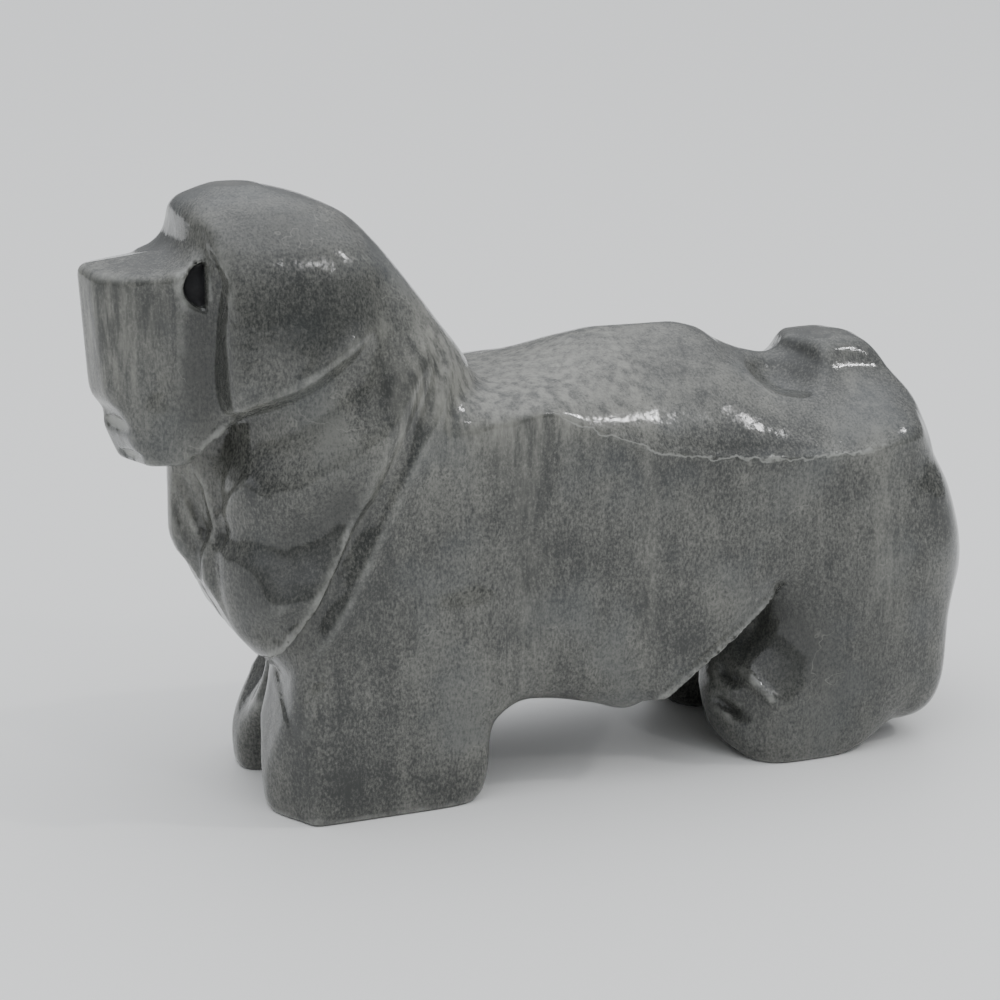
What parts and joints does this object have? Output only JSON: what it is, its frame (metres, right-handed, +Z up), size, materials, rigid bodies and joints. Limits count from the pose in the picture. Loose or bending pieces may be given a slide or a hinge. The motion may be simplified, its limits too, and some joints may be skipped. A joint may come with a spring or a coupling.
{
  "type": "carved stone dog figurine",
  "caption": "Small standing long-haired dog carved from one block of polished grey-green stone, with a deep mane, square legs and a curled tail.",
  "frame": {"origin": "middle of the bounding box's base, on the plane of the four flat soles", "axes": "+Z up; the dog stands along X and faces -X; Y runs across it, with the left side at -Y"},
  "size_m": [0.0742, 0.0248, 0.0484],
  "materials": {
    "polished_stone": "polished, mottled grey-green"
  },
  "bodies": {
    "root": {"dog": "polished_stone"}
  },
  "joints": []
}
